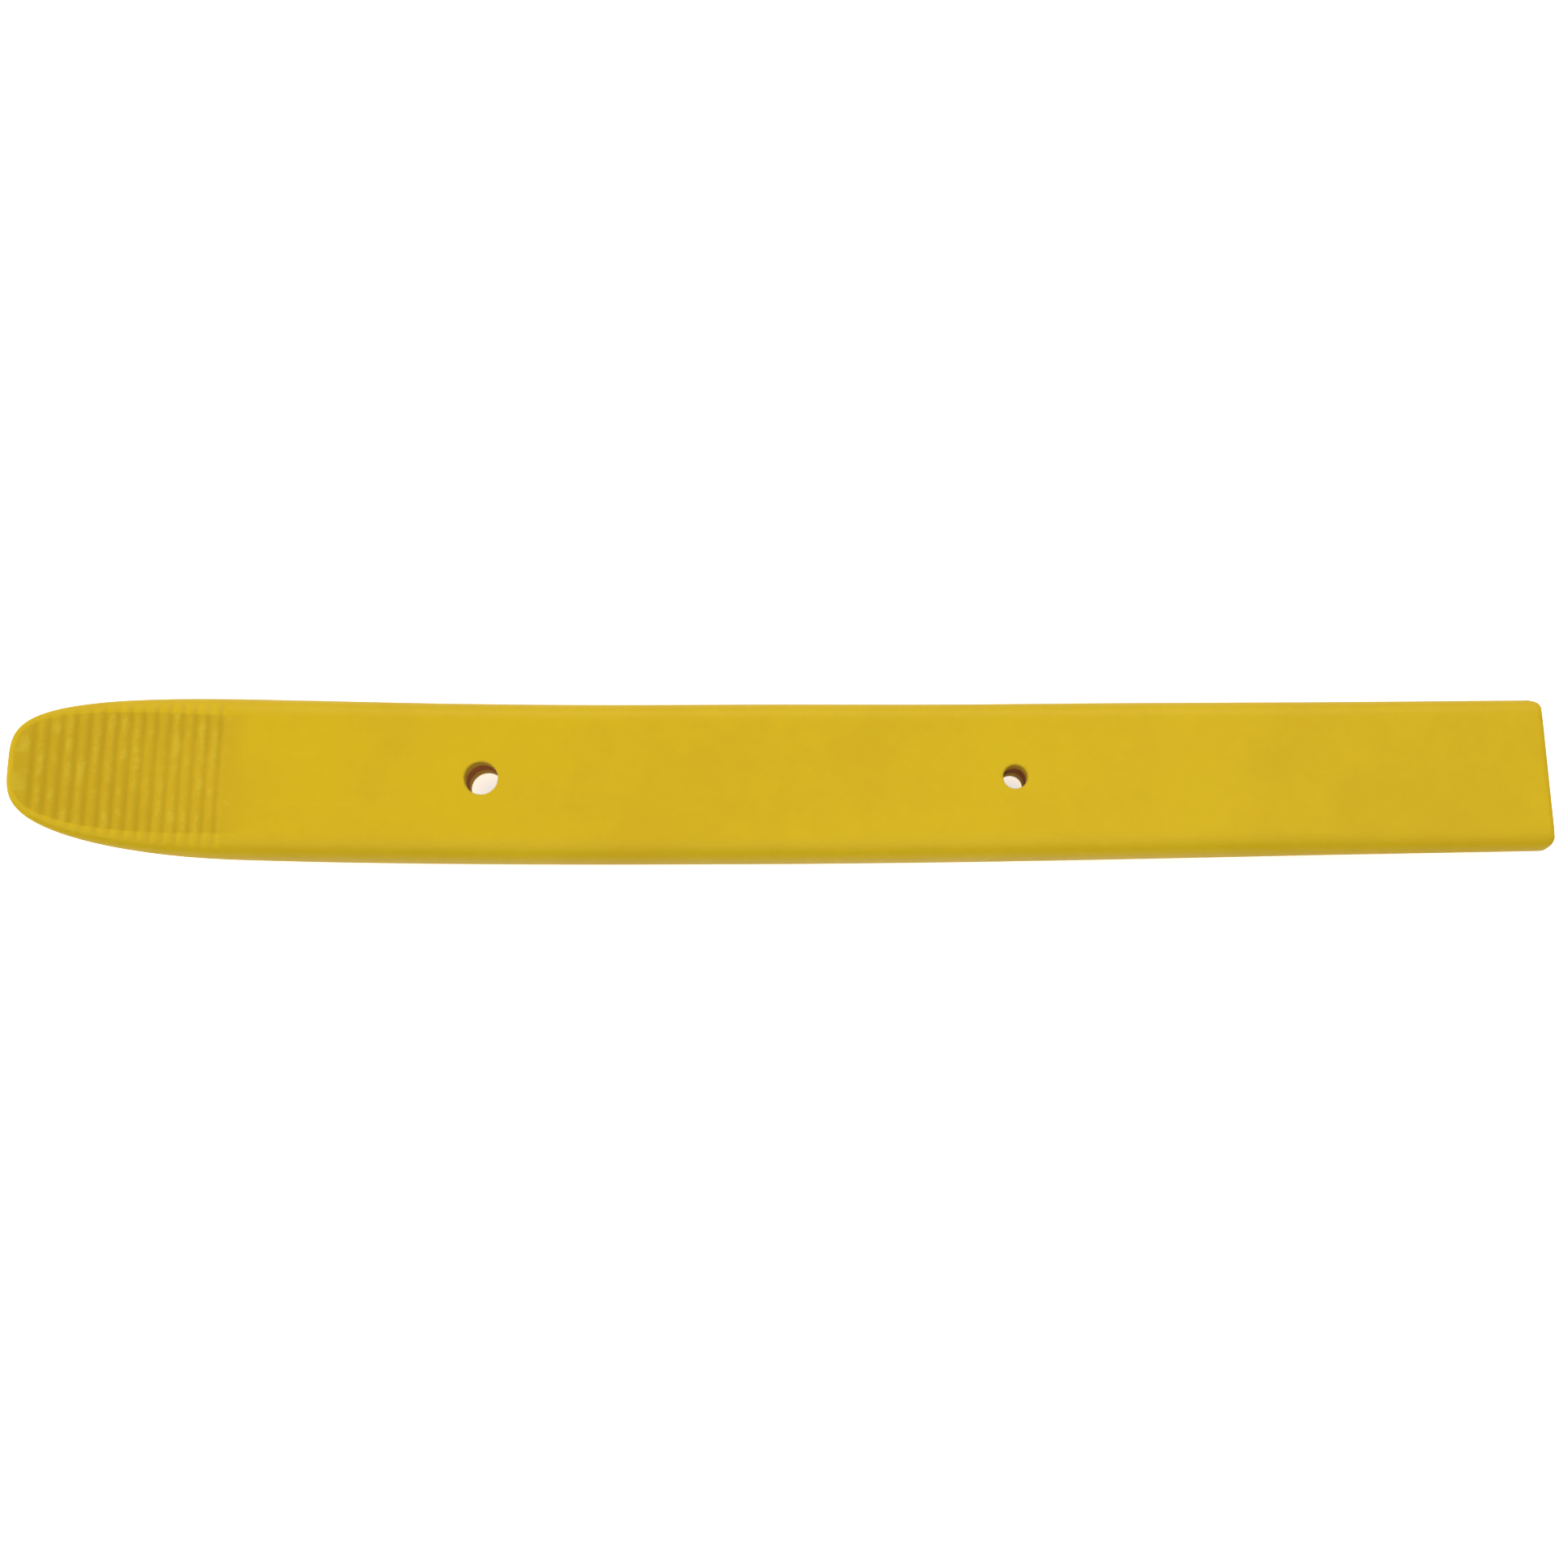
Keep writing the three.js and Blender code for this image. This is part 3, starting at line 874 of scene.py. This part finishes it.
def plastic_material(groups):
    """Satin yellow nylon: clouded pigment, mould grain, scuffs, rubbed edges, and soil with painted
    shade over the ribs, in their grooves and in the bores.
    """
    material, tree, shader, vector = new_material("yellow_nylon")
    cloud = place_group(tree, groups["cloud"], Vector=vector, Scale=24.0)
    exposed = mesh_mark(tree, "wear")
    wear = place_group(tree, groups["edge"], Vector=vector, Exposed=exposed, Amount=0.55)
    scuff = place_group(tree, groups["scuff"], Vector=vector, Amount=0.55)
    grain = place_group(tree, groups["grain"], Vector=vector, Scale=1700.0)
    patchy = ramp(tree, cloud, low=-0.6, high=0.9)
    # The soil mark paints shade as well as soil: darker and oranger over the ribs, in their grooves
    # and in the bores.
    soil_and_shade = math_node(tree, "MULTIPLY", mesh_mark(tree, "soil_and_shade"), patchy)
    colour = mix_colour(tree, cloud, YELLOW_DEEP, YELLOW)
    tints = ((soil_and_shade, 0.3, SOIL_AND_SHADE), (wear, 0.5, YELLOW_RUBBED), (scuff, 0.3, YELLOW_RUBBED))
    for mask, share, tint in tints:
        colour = mix_colour(tree, math_node(tree, "MULTIPLY", mask, share), colour, tint)
    feed(tree, shader.inputs["Base Color"], colour)
    rough = PLASTIC_ROUGHNESS
    for mask, change in ((cloud, -0.06), (scuff, 0.12), (soil_and_shade, 0.2), (wear, -0.08)):
        rough = math_node(tree, "MULTIPLY_ADD", mask, change, rough, clamp=True)
    feed(tree, shader.inputs["Roughness"], rough)
    normal = bump(tree, grain, PLASTIC_GRAIN)
    normal = bump(tree, math_node(tree, "MULTIPLY", scuff, -1.0), SCUFF_DEPTH, normal)
    feed(tree, shader.inputs["Normal"], normal)
    feed(tree, shader.inputs["IOR"], PLASTIC_IOR)
    feed(tree, shader.inputs["Specular IOR Level"], PLASTIC_SPECULAR)
    return material


def steel_material(groups):
    """Hot-rolled bar: dark mill scale with rust coming through in patches."""
    material, tree, shader, vector = new_material("scaled_steel")
    cloud = place_group(tree, groups["cloud"], Vector=vector, Scale=110.0)
    grain = place_group(tree, groups["grain"], Vector=vector, Scale=1900.0)
    scuff = place_group(tree, groups["scuff"], Vector=vector, Amount=0.6)
    rust = ramp(tree, cloud, low=0.0, high=0.45)
    colour = mix_colour(tree, rust, SCALE_DARK, RUST)
    colour = mix_colour(tree, math_node(tree, "MULTIPLY", scuff, 0.5), colour, BARE_STEEL)
    feed(tree, shader.inputs["Base Color"], colour)
    metallic = between(tree, rust, SCALE_METALLIC, RUST_METALLIC)
    feed(tree, shader.inputs["Metallic"], metallic)
    rough = between(tree, rust, SCALE_ROUGHNESS, RUST_ROUGHNESS)
    feed(tree, shader.inputs["Roughness"], rough)
    relief = math_node(tree, "ADD", grain, rust)
    feed(tree, shader.inputs["Normal"], bump(tree, relief, STEEL_GRAIN))
    return material


def floor_material():
    """A light table's top: matt near-white with a glow, clear from below and to light from below."""
    material, tree, shader, vector = new_material("pale_floor")
    tint = noise(tree, vector, scale=3.0, detail=3.0)
    feed(tree, shader.inputs["Base Color"], mix_colour(tree, tint, FLOOR_GREY, FLOOR_WHITE))
    feed(tree, shader.inputs["Roughness"], FLOOR_ROUGHNESS)
    feed(tree, shader.inputs["Emission Color"], WHITE)
    path = tree.nodes.new("ShaderNodeLightPath")
    glow = math_node(tree, "MULTIPLY_ADD", path.outputs["Is Camera Ray"], *FLOOR_GLOW)
    feed(tree, shader.inputs["Emission Strength"], glow)
    back = tree.nodes.new("ShaderNodeNewGeometry").outputs["Backfacing"]
    see_through = math_node(tree, "MAXIMUM", back, path.outputs["Is Shadow Ray"])
    clear = tree.nodes.new("ShaderNodeBsdfTransparent")
    top = tree.nodes.new("ShaderNodeMixShader")
    feed(tree, top.inputs["Fac"], see_through)
    feed(tree, top.inputs[1], shader.outputs[0])
    feed(tree, top.inputs[2], clear.outputs[0])
    feed(tree, tree.nodes["Material Output"].inputs["Surface"], top.outputs[0])
    return material


# ---- Camera, floor and lights ----------------------------------------------------------------

CAMERA_TARGET = Vector((-1.7 * MM, 0, 8 * MM))
CAMERA_DISTANCE = 0.61
CAMERA_ELEVATION = math.radians(76.4)
CAMERA_ROLL = math.radians(-0.217)
CAMERA_LENS, CAMERA_SENSOR = 41.65, 36    # millimetres
CAMERA_CLIP = 0.01

FLOOR_HALF = 20.0
FLOOR_Z = -0.08 * MM
BACKDROP = (0.6, 0.2)             # the surround's white that only shows, and that also lights

# Each softbox: name, place, size and power. All of them face the middle of the lever.
SOFTBOXES = [
    ("softbox_far", (0.2, 1.5, 1.3), (2.4, 0.9), 18.5),
    ("softbox_near", (0.2, -1.3, 1.5), (2.0, 0.8), 6),
    ("softbox_over", (0.2, -0.3, 1.8), (2.0, 0.8), 9.5),
    ("softbox_under", (0, 0, -1.2), (2.0, 1.2), 8),
    ("softbox_left", (-1.6, 0, 0.9), (0.9, 0.9), 9.5),
    ("softbox_right", (1.6, 0, 0.9), (0.9, 0.9), 1),
]


def place_facing(name, data, place, direction):
    """Puts a camera or a light in the scene, looking in a direction. Returns its object."""
    item = bpy.data.objects.new(name, data)
    item.location = place
    item.rotation_mode = "QUATERNION"
    item.rotation_quaternion = direction.to_track_quat("-Z", "Y")
    bpy.context.scene.collection.objects.link(item)
    return item


def make_camera():
    """Looks down on the lever from its near side, steeply, from a little over half a metre."""
    back = Vector((0, -math.cos(CAMERA_ELEVATION), math.sin(CAMERA_ELEVATION)))
    data = bpy.data.cameras.new("camera")
    data.lens = CAMERA_LENS
    data.sensor_width = CAMERA_SENSOR
    data.clip_start = CAMERA_CLIP
    camera = place_facing("camera", data, CAMERA_TARGET + back * CAMERA_DISTANCE, -back)
    camera.rotation_quaternion = camera.rotation_quaternion @ Quaternion((0, 0, 1), CAMERA_ROLL)
    bpy.context.scene.camera = camera


def make_floor():
    """One large square, a hair below the lever, facing up."""
    mesh = bpy.data.meshes.new("floor")
    square = ((-1, -1), (1, -1), (1, 1), (-1, 1))
    corners = [(x * FLOOR_HALF, y * FLOOR_HALF, FLOOR_Z) for x, y in square]
    mesh.from_pydata(corners, [], [(0, 1, 2, 3)])
    mesh.materials.append(floor_material())
    floor = bpy.data.objects.new("floor", mesh)
    bpy.context.scene.collection.objects.link(floor)


def make_world():
    """A dim white surround, which shows as a pale backdrop."""
    world = bpy.data.worlds.new("studio")
    world.use_nodes = True
    tree = world.node_tree
    background = tree.nodes["Background"]
    feed(tree, background.inputs["Color"], WHITE)
    seen = tree.nodes.new("ShaderNodeLightPath").outputs["Is Camera Ray"]
    strength = math_node(tree, "MULTIPLY_ADD", seen, *BACKDROP)
    feed(tree, background.inputs["Strength"], strength)
    bpy.context.scene.world = world


def make_lights():
    """The softboxes, as rectangular area lights."""
    for name, place, size, power in SOFTBOXES:
        data = bpy.data.lights.new(name, "AREA")
        data.shape = "RECTANGLE"
        data.size, data.size_y = size
        data.energy = power
        place_facing(name, data, place, -Vector(place))


# ---- Assembly --------------------------------------------------------------------------------

make_camera()
groups = {
    "cloud": make_cloud_group(),
    "grain": make_grain_group(),
    "scuff": make_scuff_group(),
    "edge": make_edge_group(),
}

body = moulded_body(plastic_material(groups))
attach(body, "root")
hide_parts("moulded_body")

core = steel_core(steel_material(groups))
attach(core, "root")
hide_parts("steel_core")

make_floor()
make_world()
make_lights()
bpy.context.scene.view_settings.view_transform = "Standard"
